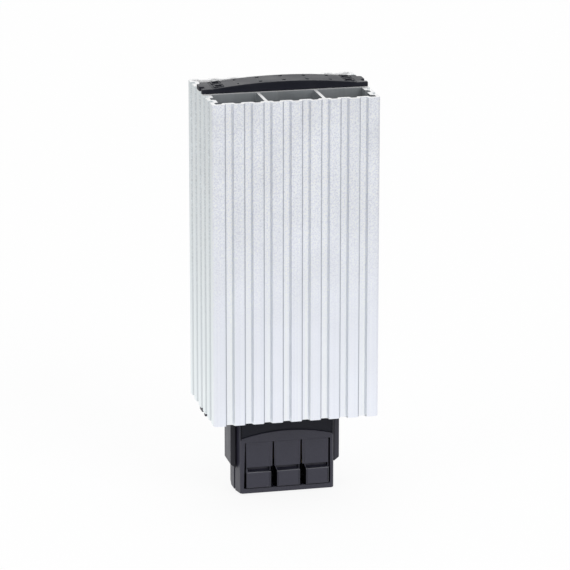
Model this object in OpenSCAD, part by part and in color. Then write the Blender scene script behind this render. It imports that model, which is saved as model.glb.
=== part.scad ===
// Enclosure heater with a corrugated aluminium body, lever terminals and a rail clip.
// Millimetres. X runs along the mounting rail, Z is up and the front faces -Y.
// The origin is the middle of the rail's front plane, half way up the body.

/* [Profile] */
// Width of the extruded profile
prof_w = 72; // [68:1:80]
// Depth of the extruded profile, front to back
prof_d = 52; // [50:0.5:54]
// Length of the extruded profile
prof_l = 140; // [130:5:220]
// Thickness of the corrugated skin
skin_t = 1.6; // [1.3:0.1:1.8]
// Depth of a groove in the skin
groove_d = 1.8; // [1.6:0.1:2]
// Width of a groove at its mouth
groove_mouth = 3.8; // [3.6:0.1:4]
// Width of a groove at its floor
groove_floor = 2.5; // [2.3:0.1:2.7]
// Grooves across the front, and across the back
front_groove_count = 8; // [7:1:8]
// Grooves along each side
side_groove_count = 5; // [5:1:5]
// Outer face to the middle of a corner ridge
corner_in = 3; // [2.9:0.1:3.2]
// Radius of the four long corners
corner_r = 1.8; // [1.2:0.1:2]
// Thickness of the partition behind the air channels
partition_t = 1.6; // [1.2:0.1:2]
// Partition's middle ahead of the ridge that it meets
partition_ahead = 0.75; // [0.5:0.05:0.75]
// Rear web's middle behind the middle of the groove that it meets
web_behind = 2.25; // [2.2:0.05:2.4]
// Thickness of the two fins between the air channels
fin_t = 1.4; // [1:0.1:2]

/* [Heating element] */
// Width of the slot that holds the element
slot_w = 36; // [35:0.5:40]
// Depth of that slot
slot_d = 7.2; // [7.2:0.1:8]
// Thickness of the slot's own walls
slot_wall = 2; // [1.6:0.1:2.2]
// Thickness of the sleeve's film
sleeve_t = 0.4; // [0.2:0.05:0.5]
// Sleeve's lower end above the profile's lower end
sleeve_up = 14; // [13:0.5:18]
// Thickness of an electrode
electrode_t = 0.5; // [0.3:0.1:0.6]
// Height of a heating stone
stone_h = 30; // [24:1:31]
// Thickness of a heating stone
stone_t = 2.6; // [2:0.1:2.8]
// Gap between stones
stone_gap = 1; // [0.5:0.1:1.5]
// Thickness of the bowed leaf spring
leaf_t = 0.5; // [0.3:0.1:0.6]

/* [Top cap] */
// Cap's edge in from the profile's outer face
cap_in = 0.1; // [0:0.1:0.4]
// Thickness of the cap's flange
cap_t = 1.9; // [1.6:0.1:1.9]
// Height of the crown at its middle
crown_h = 4; // [3.6:0.1:5]
// Height of the crown at its ends
crown_end_h = 2; // [1.9:0.1:2.4]
// Width of the crown
crown_w = 62; // [60:0.5:62]
// Depth of the crown, front to back
crown_d = 13; // [12.6:0.1:14]
// Diameter of the vent dimples
dimple_dia = 1.6; // [1:0.1:2]
// Depth of the vent dimples
dimple_deep = 0.7; // [0.4:0.1:0.8]
// Spacing of the vent dimples along the crown
dimple_pitch = 10.1; // [9:0.1:10.4]
// First row of dimples behind the crown's front edge
dimple_in = 3; // [2.6:0.1:3.4]
// Second row of dimples behind the first
dimple_row = 7.4; // [7:0.1:7.8]
// Side of a square window over a snap leg
window_w = 2.8; // [2:0.1:3]
// Width of the raised rim round a window
rim_w = 0.7; // [0.5:0.1:0.8]
// Height of that rim over the crown
rim_h = 0.6; // [0.4:0.1:0.8]
// Front windows behind the crown's front edge
window_in = 3.6; // [3.4:0.1:4]
// Rear windows behind the front ones
window_row = 6.8; // [6:0.1:7]
// Thickness of a snap leg
leg_t = 2; // [1.6:0.1:2.2]
// Length of a snap leg
leg_l = 9; // [6:0.5:12]

/* [Casing] */
// Width of the connection casing
casing_w = 43.4; // [43:0.2:44.4]
// Casing's front face ahead of the rear chamber's front
casing_ahead = 3.45; // [3.05:0.1:4.05]
// Depth of the casing, front to back
casing_d = 17; // [16.8:0.1:17.6]
// Height of the casing below the profile
casing_h = 38; // [37.6:0.2:40]
// Wall thickness of the casing
casing_wall = 2; // [1.8:0.1:2]
// Thickness of the casing's bottom
casing_bottom = 2; // [1.8:0.1:2.2]
// Depth of the front half
front_half_d = 9.4; // [9.2:0.1:9.8]
// Draft of the front half's sides, from its back to its front face
casing_draft = 0.9; // [0.6:0.1:1]
// Draft of the front half's bottom
bottom_draft = 0.7; // [0.4:0.1:0.8]
// Chamfer of the rear half's lower edge
rear_chamfer = 1.8; // [1.2:0.1:1.9]
// Chamfer of the two front edges
casing_chamfer = 0.8; // [0.6:0.1:1.2]
// Width of the parting groove between the halves
parting_w = 2.4; // [1.8:0.1:2.6]
// Depth of the parting groove
parting_d = 1.2; // [0.8:0.1:1.2]
// Width over the two shoulders
shoulder_w = 48.4; // [47.6:0.2:50]
// Height of a shoulder at its outer face
shoulder_h = 25; // [22:0.5:27]
// Rise of the slope under a shoulder
shoulder_slope = 2; // [1:0.1:2.4]
// Shoulder's front behind the casing's front face
shoulder_in = 4.4; // [4:0.1:5]
// Depth of a shoulder, front to back
shoulder_d = 12.6; // [12:0.1:13]
// Gap between a shoulder and the casing's front half
shoulder_gap = 0.2; // [0.1:0.05:0.4]
// Casing's flange in from the profile's outer face
flange_in = 0.5; // [0.4:0.1:0.8]
// Thickness of that flange
flange_t = 2.1; // [1.8:0.1:2.1]
// Top of the casing's front half below the profile
front_top = 2.2; // [2:0.1:2.4]
// Top of the arched plate below the profile
arch_h = 8.9; // [8.4:0.1:9.2]
// Rise of the arch from the casing's edges to its middle
arch_rise = 3.2; // [2.8:0.1:3.2]
// Edge of the casing left beside the recess over the arch
recess_edge = 0.7; // [0.6:0.1:1.2]
// Depth of that recess, front to back
recess_d = 5.4; // [5:0.1:5.4]

/* [Levers] */
// Spacing of the three levers
lever_pitch = 12.4; // [12.2:0.1:12.4]
// Width of the slits beside the levers
slit_w = 0.5; // [0.4:0.05:0.6]
// Hinge line below the profile
hinge_h = 14.3; // [13.8:0.1:15]
// Thickness of a lever's plate
lever_t = 1.4; // [1.2:0.1:1.6]
// Thickness of a lever at its key
lever_root = 4.6; // [4.2:0.1:5]
// Width of a key
key_w = 10.9; // [10.6:0.1:11.2]
// Top of a key below the profile
key_h = 27.4; // [27:0.1:28]
// Key standing proud of the plate
key_out = 1; // [0.5:0.1:1.4]
// Width of the rib behind a key, which reaches towards the clamp spring
rib_w = 4; // [3:0.5:5]
// Height of the finger slot over a key
finger_h = 1.9; // [1.6:0.1:2.2]
// Cheek left at each end of the finger slot
cheek_w = 0.4; // [0.3:0.05:0.6]
// Depth of the finger slot
finger_d = 2.4; // [2:0.1:2.6]
// Bar below the keys
bar_h = 2.2; // [2.1:0.1:2.6]
// Angle a lever can be pressed
press_angle = 7; // [5:0.5:7]

/* [Terminals] */
// Diameter of a wire entry
wire_dia = 3.4; // [3:0.1:3.4]
// Length of a wire entry
wire_l = 4; // [3.6:0.1:5]
// Width of a contact bar
bar_w = 6; // [5:0.5:7]
// Thickness of a contact bar
bar_t = 1; // [0.8:0.1:1]
// Lower end of a contact bar below the profile
bar_low = 30; // [28:0.5:31]
// Lower end of an electrode's tab below the profile
tab_low = 2; // [1.8:0.1:2.4]
// Width of a clamp spring
clamp_w = 5; // [4:0.5:6]
// Thickness of a clamp spring
clamp_t = 0.5; // [0.4:0.1:0.6]
// Radius of a clamp spring's bend
clamp_r = 2; // [1.8:0.1:2]
// Lower end of a clamp spring's legs below the profile
clamp_low = 24; // [22:0.5:25]
// Length of a clamp spring's blade
blade_l = 3.6; // [3:0.1:3.6]
// Diameter of the earth screw
earth_dia = 3; // [2.5:0.1:3]

/* [Rail clip] */
// Height of the mounting rail
rail_h = 35; // [35:0.1:35]
// Room for the rail's lip under a hook
lip_room = 1.4; // [1.2:0.1:1.8]
// Thickness of the clip's sheet
clip_t = 1.2; // [0.8:0.1:1.5]
// Width of the clip
clip_w = 30; // [20:1:40]
// Length of a hook behind the rail's lip
hook_h = 2.6; // [2:0.1:3]
// Clearance over the rail's edges
rail_gap = 0.3; // [0.1:0.1:0.5]
// Width of a hook
hook_w = 20; // [14:1:24]
// Flare of the lower hook, which leads it over the rail's edge
hook_flare = 1.4; // [0.8:0.1:2]
// Margin of the clip's plate round a screw
screw_margin = 4; // [3.2:0.1:5]
// Diameter of the clip screws
screw_dia = 3; // [2.5:0.1:3.5]
// Diameter of a screw head
head_dia = 5.4; // [5:0.1:6]
// Height of a screw head
head_h = 1.8; // [1.4:0.1:2]
// Length of a screw under its head
screw_l = 4.4; // [4:0.1:5]

/* [Clearances] */
// Between a moulded piece and the profile
fit_gap = 0.2; // [0.1:0.05:0.3]
// Round a screw in its hole
screw_gap = 0.05; // [0.03:0.01:0.1]
// Seam at a lever's hinge line
seam_gap = 0.05; // [0.03:0.01:0.1]
// Under a key, down to the bar below it
key_gap = 0.4; // [0.3:0.05:0.5]
// Between the sleeve and the slot's side walls
sleeve_gap = 1; // [0.5:0.1:1.5]
// Between an electrode's edges and the sleeve's film
electrode_gap = 1.1; // [0.5:0.1:1.5]
// Electrode left bare beside a stone
stone_edge = 1.5; // [1:0.1:4]
// Sleeve left over beyond the stack of stones, at each end
stack_end = 6; // [4:0.5:8]
// Sleeve left bare beside the leaf spring
leaf_edge = 5; // [3:0.5:8]
// Sleeve left bare above and below the leaf spring
leaf_end = 10; // [6:0.5:14]
// Between a lever's rib and its clamp spring, at rest
rib_room = 3.4; // [3.2:0.1:4]

/* [Hidden] */
$fn = 64;
cut = 1;
corner_steps = 5;

// Places that follow from the sizes above
front_y = -clip_t - prof_d;
top_z = prof_l / 2;
bot_z = -prof_l / 2;
pitch_wide = (prof_w - 2 * corner_in) / front_groove_count;
pitch_deep = (prof_d - 2 * corner_in) / side_groove_count;
slope_shift = tan(atan2(groove_d, (groove_mouth - groove_floor) / 2) / 2);
partition_d = corner_in + 2 * pitch_deep - partition_ahead;
rear_web_d = corner_in + 3.5 * pitch_deep + web_behind;
chamber_d = partition_d + partition_t / 2;
fin_x = prof_w / 2 - corner_in - 2.5 * pitch_wide;

// Heating element, stacked back from the slot's rear wall
slot_back = chamber_d + slot_d;
slot_rear = slot_back + slot_wall;
sleeve_w = slot_w - 2 * sleeve_gap;
sleeve_h = 3 * stone_h + 2 * stone_gap + 2 * stack_end;
sleeve_d = 2 * sleeve_t + 2 * electrode_t + stone_t;
electrode_w = sleeve_w - 2 * sleeve_t - 2 * electrode_gap;
stone_w = electrode_w - 2 * stone_edge;
leaf_w = sleeve_w - 2 * leaf_edge;
leaf_h = sleeve_h - 2 * leaf_end;
sleeve_front = slot_back - sleeve_d;
sleeve_z = bot_z + sleeve_up;
front_plate_d = sleeve_front + sleeve_t;
stone_d = front_plate_d + electrode_t;
rear_plate_d = stone_d + stone_t;
stone_low = sleeve_z + stack_end;
leaf_rise = sleeve_front - chamber_d - leaf_t;
leaf_r = (pow(leaf_h / 2, 2) + pow(leaf_rise, 2)) / (2 * leaf_rise);

// Casing
casing_in = chamber_d - casing_ahead;
casing_back_d = casing_in + casing_d;
parting_face = casing_in + front_half_d;
inner_half = casing_w / 2 - casing_wall;
casing_floor = casing_h - casing_bottom;
casing_inner_d = casing_back_d - casing_wall;
bars_d = casing_inner_d - bar_t;
wall_d = casing_in + recess_d;
arch_r = (pow(casing_w / 2, 2) + pow(arch_rise, 2)) / (2 * arch_rise);
flange_front = chamber_d + fit_gap;
flange_back = rear_web_d - partition_t / 2 - fit_gap;
flange_ds = [flange_front, flange_back];
crown_rise = crown_h - crown_end_h;
crown_r = (pow(crown_w / 2, 2) + pow(crown_rise, 2)) / (2 * crown_rise);
window_x = crown_w / 2 - window_w;
window_ds = [flange_front + window_in, flange_front + window_in + window_row];
leg_w = window_w + 2 * rim_w;

// Levers and terminals
lever_w = lever_pitch - slit_w;
lever_xs = [-lever_pitch, 0, lever_pitch];
front_h = casing_h - bottom_draft;
opening_low = front_h - bar_h;
lever_low = opening_low - key_gap;
lever_back_d = casing_in + lever_root;
key_shift = (lever_w - key_w) / 2;
opening_half = 1.5 * lever_pitch + slit_w / 2;
entry_d = bars_d - wire_dia / 2;
clamp_top = hinge_h;
clamp_front_d = bars_d - 2 * clamp_r;
rib_back_d = clamp_front_d - rib_room;
earth_z = bot_z + sleeve_up / 2;
hook_z = rail_h / 2 + rail_gap;
hook_cut = lip_room + hook_h;
screw_z = hook_z + clip_t + hook_cut + screw_margin;
clip_h = 2 * (screw_z + screw_margin);

// One rounded corner of the skin, as an arc about its middle
function corner(x, d, r, a) = [for (i = [0:corner_steps])
    [x + r * cos(a + 90 * i / corner_steps), d + r * sin(a + 90 * i / corner_steps)]];

// The grooves of one side: distance along the side, then depth into it
function side(n, pitch, inset) = [for (i = [0:n - 1])
    let (s = corner_in + (i + 0.5) * pitch,
        a = groove_mouth / 2 + inset * slope_shift,
        b = groove_floor / 2 + inset * slope_shift)
    each [[s - a, inset], [s - b, groove_d + inset], [s + b, groove_d + inset], [s + a, inset]]];

// Closed outline of the skin, moved in from its outer face by an inset
function outline(inset) = let (
    r = max(corner_r - inset, 0.2), w = prof_w / 2, c = inset + r,
    wide = side(front_groove_count, pitch_wide, inset), deep = side(side_groove_count, pitch_deep, inset))
    concat(
        corner(-w + c, c, r, 180), [for (p = wide) [-w + p[0], p[1]]],
        corner(w - c, c, r, 270), [for (p = deep) [w - p[1], p[0]]],
        corner(w - c, prof_d - c, r, 0), [for (p = wide) [w - p[0], prof_d - p[1]]],
        corner(-w + c, prof_d - c, r, 90), [for (p = deep) [-w + p[1], prof_d - p[0]]]);

// A box between two corners: x, depth behind the profile's front face, z
module block(x, d, z) {
    translate([x[0], front_y + d[0], z[0]])
        cube([x[1] - x[0], d[1] - d[0], z[1] - z[0]]);
}

// The same, with heights measured down from the profile's lower end
module hung_block(x, d, h) {
    block(x, d, [bot_z - h[1], bot_z - h[0]]);
}

// A rod along X, at a depth and at a height below the profile
module rod_x(x, d, h, r) {
    translate([x[0], front_y + d, bot_z - h])
        rotate([0, 90, 0])
            cylinder(r = r, h = x[1] - x[0]);
}

// A rod along Y between two depths
module rod_y(x, d, z, r) {
    translate([x, front_y + d[0], z])
        rotate([-90, 0, 0])
            cylinder(r = r, h = d[1] - d[0]);
}

// An upright prism with the skin's outline, between two depths
module skin_prism(inset, d, z) {
    intersection() {
        translate([0, front_y, z[0]])
            linear_extrude(z[1] - z[0])
                polygon(outline(inset));
        block([-prof_w, prof_w], d, z);
    }
}

// Partition, rear web, fins and the element's slot, inside the skin
module profile_webs() {
    long = [bot_z - 2 * cut, top_z + 2 * cut];
    for (d = [partition_d, rear_web_d])
        block([-prof_w / 2, prof_w / 2], [d - partition_t / 2, d + partition_t / 2], long);
    for (s = [-1, 1])
        block([s * fin_x - fin_t / 2, s * fin_x + fin_t / 2], [groove_d + skin_t / 2, partition_d], long);
    for (s = [-1, 1])
        let (x = s * (slot_w + slot_wall) / 2)
            block([x - slot_wall / 2, x + slot_wall / 2], [partition_d, slot_rear], long);
    block([-slot_w / 2 - slot_wall, slot_w / 2 + slot_wall], [slot_back, slot_rear], long);
}

module heater_profile() {
    whole = [-cut, prof_d + cut];
    color("gainsboro")
        difference() {
            skin_prism(0, whole, [bot_z, top_z]);
            difference() {
                skin_prism(skin_t, whole, [bot_z - cut, top_z + cut]);
                profile_webs();
            }
            rod_y(lever_pitch, [slot_back - cut, slot_rear + cut], earth_z, earth_dia / 2);
            for (s = [-1, 1])
                rod_y(0, [prof_d - groove_d - skin_t - cut, prof_d + cut], s * screw_z, screw_dia / 2);
        }
}

// Snap legs that reach into the rear chamber from one of its ends
module snap_legs(z) {
    for (s = [-1, 1])
        block([s * window_x - leg_w / 2, s * window_x + leg_w / 2],
            [window_ds[0], window_ds[0] + leg_t], z);
}

module crown() {
    intersection() {
        rod_y(0, [flange_front, flange_front + crown_d], top_z + crown_h - crown_r, crown_r, $fn = 200);
        block([-crown_w / 2, crown_w / 2], [0, prof_d], [top_z, top_z + crown_h]);
    }
}

module top_cap() {
    rim_half = window_w / 2 + rim_w;
    color([0.2, 0.2, 0.22])
        difference() {
            union() {
                skin_prism(cap_in, flange_ds, [top_z, top_z + cap_t]);
                crown();
                snap_legs([top_z - leg_l, top_z]);
                for (s = [-1, 1], d = window_ds)
                    block([s * window_x - rim_half, s * window_x + rim_half], [d - rim_half, d + rim_half],
                        [top_z, top_z + crown_end_h + rim_h]);
            }
            for (s = [-1, 1], d = window_ds)
                block([s * window_x - window_w / 2, s * window_x + window_w / 2],
                    [d - window_w / 2, d + window_w / 2], [top_z + cap_t / 2, top_z + crown_h + cut]);
            for (row = [0, 1], i = [-2:2])
                let (x = i * dimple_pitch, d = flange_front + dimple_in + row * dimple_row)
                    translate([x, front_y + d,
                        top_z + crown_h - crown_r + sqrt(crown_r * crown_r - x * x) - dimple_deep])
                        cylinder(d = dimple_dia, h = dimple_deep + cut, $fn = 24);
        }
}

// One shoulder: its slope runs down towards the casing
module shoulder(s) {
    x0 = casing_w / 2;
    x1 = shoulder_w / 2;
    low = bot_z - shoulder_h;
    difference() {
        translate([0, front_y + casing_in + shoulder_in + shoulder_d, 0])
            rotate([90, 0, 0])
                linear_extrude(shoulder_d)
                    polygon([[s * x0, bot_z - flange_t], [s * x1, bot_z - flange_t],
                        [s * x1, low], [s * x0, low - shoulder_slope]]);
        block([s > 0 ? x0 - cut : -x0 - shoulder_gap, s > 0 ? x0 + shoulder_gap : -x0 + cut],
            [0, parting_face], [bot_z - casing_h, bot_z]);
    }
}

module casing_base() {
    color([0.2, 0.2, 0.22])
        difference() {
            union() {
                skin_prism(flange_in, flange_ds, [bot_z - flange_t, bot_z]);
                snap_legs([bot_z, bot_z + leg_l]);
                hung_block([-casing_w / 2, casing_w / 2], [parting_face, casing_back_d],
                    [flange_t, casing_h]);
                shoulder(-1);
                shoulder(1);
            }
            difference() {
                union() {
                    hung_block([-inner_half, inner_half], [parting_face - cut, casing_inner_d],
                        [flange_t - cut, casing_floor]);
                    hung_block([-inner_half, inner_half], [front_plate_d - fit_gap, casing_inner_d],
                        [-cut, flange_t]);
                }
                for (x = lever_xs)
                    hung_block([x - bar_w / 2, x + bar_w / 2], [entry_d - wire_dia, casing_inner_d],
                        [casing_h - wire_l, casing_h]);
            }
            for (x = lever_xs)
                translate([x, front_y + entry_d, bot_z - casing_h - cut])
                    cylinder(d = wire_dia, h = wire_l + 2 * cut);
            translate([-casing_w, front_y + casing_back_d, bot_z - casing_h + rear_chamfer])
                rotate([45, 0, 0])
                    translate([0, -2 * rear_chamfer, -2 * rear_chamfer])
                        cube([2 * casing_w, 4 * rear_chamfer, 2 * rear_chamfer]);
        }
}

// Plan of the front half: drafted sides, chamfered front edges, a step for the parting groove
module front_half_plan() {
    w = casing_w / 2;
    front = w - casing_draft;
    step = w - parting_d;
    back = parting_face - parting_w;
    polygon([[-front + casing_chamfer, casing_in], [front - casing_chamfer, casing_in],
        [front, casing_in + casing_chamfer], [w, back], [step, back], [step, parting_face],
        [-step, parting_face], [-step, back], [-w, back], [-front, casing_in + casing_chamfer]]);
}

// The arch: a wide disc whose top edge is the plate's upper edge
module arch_disc(d) {
    rod_y(0, d, bot_z - arch_h - arch_r, arch_r, $fn = 200);
}

// A hollow half with an arched front plate, a dark recess over it and the levers' opening
module casing_front() {
    recess_half = casing_w / 2 - casing_draft - recess_edge;
    plate_back = casing_in + casing_wall;
    color([0.2, 0.2, 0.22])
        difference() {
            translate([0, front_y, bot_z - casing_h])
                linear_extrude(casing_h - front_top)
                    front_half_plan();
            difference() {
                hung_block([-recess_half, recess_half], [0, wall_d],
                    [front_top - cut, hinge_h - casing_wall]);
                intersection() {
                    hung_block([-casing_w, casing_w], [casing_in, plate_back], [front_top, hinge_h]);
                    arch_disc([0, 2 * prof_d]);
                }
            }
            hung_block([-inner_half, inner_half], [plate_back, 2 * prof_d], [hinge_h, casing_floor]);
            hung_block([-inner_half, inner_half], [wall_d + casing_wall, 2 * prof_d],
                [front_top + casing_wall, casing_floor]);
            hung_block([-opening_half, opening_half], [0, plate_back + cut], [hinge_h, opening_low]);
            translate([-casing_w, front_y + casing_in, bot_z - front_h])
                rotate([-atan2(bottom_draft, front_half_d), 0, 0])
                    translate([0, -cut, -casing_bottom])
                        cube([2 * casing_w, 2 * front_half_d, casing_bottom]);
        }
}

// A press lever: thin plate from the hinge line, finger slot, then a proud key and its rib
module lever(x, shift) {
    plate_x = [x - lever_w / 2, x + lever_w / 2];
    key_x = [x + shift - key_w / 2, x + shift + key_w / 2];
    slot_x = [key_x[0] + cheek_w, key_x[1] - cheek_w];
    slot_top = key_h - finger_h;
    slot_end = casing_in + finger_d - finger_h / 2;
    color([0.24, 0.24, 0.26])
        difference() {
            union() {
                hung_block(plate_x, [casing_in, casing_in + lever_t], [hinge_h + seam_gap, slot_top]);
                hung_block(key_x, [casing_in, lever_back_d], [slot_top - finger_h, lever_low]);
                hung_block(key_x, [casing_in - key_out, lever_back_d], [key_h, lever_low]);
                hung_block([x - rib_w / 2, x + rib_w / 2], [casing_in + lever_t, rib_back_d],
                    [slot_top, key_h + finger_h]);
            }
            hung_block(slot_x, [casing_in - cut, slot_end], [slot_top, key_h]);
            rod_x(slot_x, slot_end, key_h - finger_h / 2, finger_h / 2);
            translate([plate_x[0] - cut, front_y + casing_in, bot_z - hinge_h - seam_gap])
                rotate([-press_angle - 1, 0, 0])
                    cube([lever_w + 2 * cut, 2 * lever_root, lever_root]);
        }
}

module lever_left() { lever(lever_xs[0], -key_shift); }
module lever_middle() { lever(lever_xs[1], 0); }
module lever_right() { lever(lever_xs[2], key_shift); }

// A clamp spring: one leg on its contact bar, a bend, and a leg that ends in a blade
module clamp_spring(x) {
    xs = [x - clamp_w / 2, x + clamp_w / 2];
    bend_d = bars_d - clamp_r;
    free_d = clamp_front_d;
    color("silver")
        union() {
            hung_block(xs, [bars_d - clamp_t, bars_d], [clamp_top, clamp_low]);
            hung_block(xs, [free_d, free_d + clamp_t], [clamp_top, clamp_low]);
            difference() {
                rod_x(xs, bend_d, clamp_top, clamp_r);
                rod_x([xs[0] - cut, xs[1] + cut], bend_d, clamp_top, clamp_r - clamp_t);
                hung_block([xs[0] - cut, xs[1] + cut], [0, 2 * prof_d], [clamp_top, casing_h]);
            }
            translate([xs[0], front_y + free_d, bot_z - clamp_low])
                rotate([-45, 0, 0])
                    cube([clamp_w, blade_l, clamp_t]);
        }
}

module clamp_spring_left() { clamp_spring(lever_xs[0]); }
module clamp_spring_middle() { clamp_spring(lever_xs[1]); }
module clamp_spring_right() { clamp_spring(lever_xs[2]); }

// A contact bar: upright strip on the casing's back, folded forward to an electrode's tab
module contact_bar(x, tab_d) {
    xs = [x - bar_w / 2, x + bar_w / 2];
    color("goldenrod")
        union() {
            hung_block(xs, [bars_d, bars_d + bar_t], [tab_low - bar_t, bar_low]);
            hung_block(xs, [tab_d, bars_d], [tab_low - bar_t, tab_low]);
        }
}

module contact_bar_left() { contact_bar(lever_xs[0], stone_d); }
module contact_bar_middle() { contact_bar(lever_xs[1], rear_plate_d + electrode_t); }

module earth_bar() {
    x = lever_xs[2];
    color("goldenrod")
        difference() {
            union() {
                contact_bar(x, slot_rear);
                hung_block([x - bar_w / 2, x + bar_w / 2], [slot_rear, slot_rear + bar_t],
                    [-sleeve_up, tab_low]);
            }
            rod_y(x, [slot_rear - cut, slot_rear + bar_t + cut], earth_z, earth_dia / 2 + screw_gap);
        }
}

// A pan-head screw along Y with its head's seat at a depth
module screw(x, z, seat, dia, length) {
    rod_y(x, [seat - length, seat], z, dia / 2 - screw_gap);
    rod_y(x, [seat, seat + head_h], z, head_dia / 2);
}

module earth_screw() {
    color("silver") screw(lever_xs[2], earth_z, slot_rear + bar_t, earth_dia, screw_l);
}

// An electrode: a plate with a tab that hangs to its contact bar
module electrode(d, x) {
    color("goldenrod")
        union() {
            block([-electrode_w / 2, electrode_w / 2], [d, d + electrode_t], [sleeve_z, sleeve_z + sleeve_h]);
            block([x - bar_w / 2, x + bar_w / 2], [d, d + electrode_t], [bot_z - tab_low, sleeve_z]);
        }
}

module electrode_front() { electrode(front_plate_d, lever_xs[0]); }
module electrode_rear() { electrode(rear_plate_d, lever_xs[1]); }

module ptc_stone(i) {
    low = stone_low + i * (stone_h + stone_gap);
    color("slategray")
        block([-stone_w / 2, stone_w / 2], [stone_d, rear_plate_d], [low, low + stone_h]);
}

module ptc_stone_lower() { ptc_stone(0); }
module ptc_stone_middle() { ptc_stone(1); }
module ptc_stone_upper() { ptc_stone(2); }

module insulating_sleeve() {
    color("peru")
        difference() {
            block([-sleeve_w / 2, sleeve_w / 2], [sleeve_front, slot_back], [sleeve_z, sleeve_z + sleeve_h]);
            block([-sleeve_w / 2 + sleeve_t, sleeve_w / 2 - sleeve_t],
                [front_plate_d, slot_back - sleeve_t], [sleeve_z - cut, sleeve_z + sleeve_h + cut]);
        }
}

// A leaf bowed along its height, between the partition and the sleeve
module pressure_spring() {
    xs = [-leaf_w / 2, leaf_w / 2];
    mid = bot_z - (sleeve_z + sleeve_h / 2);
    back_d = sleeve_front - leaf_r;
    color("silver")
        intersection() {
            difference() {
                rod_x(xs, back_d, mid, leaf_r, $fn = 400);
                rod_x([xs[0] - cut, xs[1] + cut], back_d, mid, leaf_r - leaf_t, $fn = 400);
            }
            hung_block(xs, [chamber_d, slot_back], [mid - leaf_h / 2, mid + leaf_h / 2]);
        }
}

// Section of one hook: out over the rail's edge, then in behind its lip
module hook_section(flare) {
    top = hook_z + clip_t;
    back = lip_room + clip_t;
    polygon([[-clip_t, hook_z], [lip_room, hook_z], [lip_room, hook_z - hook_h],
        [back, hook_z - hook_h], [back + flare, hook_z], [back + flare, top], [-clip_t, top]]);
}

// A sheet plate on the profile's back, with a hook bent out of each of two windows
module rail_clip() {
    color("silver")
        difference() {
            union() {
                block([-clip_w / 2, clip_w / 2], [prof_d, prof_d + clip_t], [-clip_h / 2, clip_h / 2]);
                for (s = [-1, 1])
                    translate([-hook_w / 2, 0, 0])
                        mirror([0, 0, s > 0 ? 0 : 1])
                            rotate([90, 0, 90])
                                linear_extrude(hook_w)
                                    hook_section(s > 0 ? 0 : hook_flare);
            }
            for (s = [-1, 1]) {
                block([-hook_w / 2, hook_w / 2], [prof_d - cut, prof_d + clip_t + cut],
                    [s * (hook_z + clip_t + hook_cut / 2) - hook_cut / 2,
                    s * (hook_z + clip_t + hook_cut / 2) + hook_cut / 2]);
                rod_y(0, [prof_d - cut, prof_d + clip_t + cut], s * screw_z, screw_dia / 2 + screw_gap);
            }
        }
}

module clip_screws() {
    color("silver")
        for (s = [-1, 1])
            screw(0, s * screw_z, prof_d + clip_t, screw_dia, screw_l);
}

heater_profile();
top_cap();
casing_base();
casing_front();
lever_left();
lever_middle();
lever_right();
clamp_spring_left();
clamp_spring_middle();
clamp_spring_right();
contact_bar_left();
contact_bar_middle();
earth_bar();
earth_screw();
electrode_front();
electrode_rear();
ptc_stone_lower();
ptc_stone_middle();
ptc_stone_upper();
insulating_sleeve();
pressure_spring();
rail_clip();
clip_screws();
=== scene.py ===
import math

import bmesh
import bpy
from mathutils import Matrix, Vector


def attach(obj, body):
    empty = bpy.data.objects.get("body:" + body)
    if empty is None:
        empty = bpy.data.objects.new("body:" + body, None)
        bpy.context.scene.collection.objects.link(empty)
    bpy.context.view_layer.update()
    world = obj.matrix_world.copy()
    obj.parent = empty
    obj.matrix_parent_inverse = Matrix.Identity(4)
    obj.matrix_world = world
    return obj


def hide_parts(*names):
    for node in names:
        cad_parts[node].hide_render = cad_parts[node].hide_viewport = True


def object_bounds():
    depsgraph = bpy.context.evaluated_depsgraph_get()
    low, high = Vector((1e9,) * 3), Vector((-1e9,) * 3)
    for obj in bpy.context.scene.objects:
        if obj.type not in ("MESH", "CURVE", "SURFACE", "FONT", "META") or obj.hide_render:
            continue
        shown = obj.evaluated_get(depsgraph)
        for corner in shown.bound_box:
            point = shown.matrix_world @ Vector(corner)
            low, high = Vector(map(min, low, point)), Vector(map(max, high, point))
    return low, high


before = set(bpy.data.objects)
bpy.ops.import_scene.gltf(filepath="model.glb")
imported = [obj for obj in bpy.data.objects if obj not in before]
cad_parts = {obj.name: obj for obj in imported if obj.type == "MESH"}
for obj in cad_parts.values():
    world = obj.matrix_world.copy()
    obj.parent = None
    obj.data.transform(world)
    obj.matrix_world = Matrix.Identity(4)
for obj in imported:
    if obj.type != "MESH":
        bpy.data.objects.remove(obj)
cadLow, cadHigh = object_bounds()
scene = bpy.context.scene
scene.view_settings.view_transform = "Standard"
print("frame loaded:", len(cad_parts), "nodes")


# small helpers for node trees
def addNode(tree, kind, inputs=None, **settings):
    node = tree.nodes.new(kind)
    for name, value in settings.items():
        setattr(node, name, value)
    for name, value in (inputs or {}).items():
        node.inputs[name].default_value = value
    return node


def join(tree, source, outName, target, inName):
    tree.links.new(source.outputs[outName], target.inputs[inName])


def mathNode(tree, operation, first, second):
    node = addNode(tree, "ShaderNodeMath", operation=operation)
    for index, value in enumerate((first, second)):
        if isinstance(value, (int, float)):
            node.inputs[index].default_value = value
        else:
            tree.links.new(value, node.inputs[index])
    return node.outputs[0]


def mixColour(tree, factor, first, second, blend="MIX"):
    node = addNode(tree, "ShaderNodeMix", data_type="RGBA", blend_type=blend)
    for index, value in ((0, factor), (6, first), (7, second)):
        if isinstance(value, bpy.types.NodeSocket):
            tree.links.new(value, node.inputs[index])
        elif isinstance(value, (int, float)):
            node.inputs[index].default_value = value
        else:
            node.inputs[index].default_value = (*value, 1.0)
    return node.outputs[2]


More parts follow.
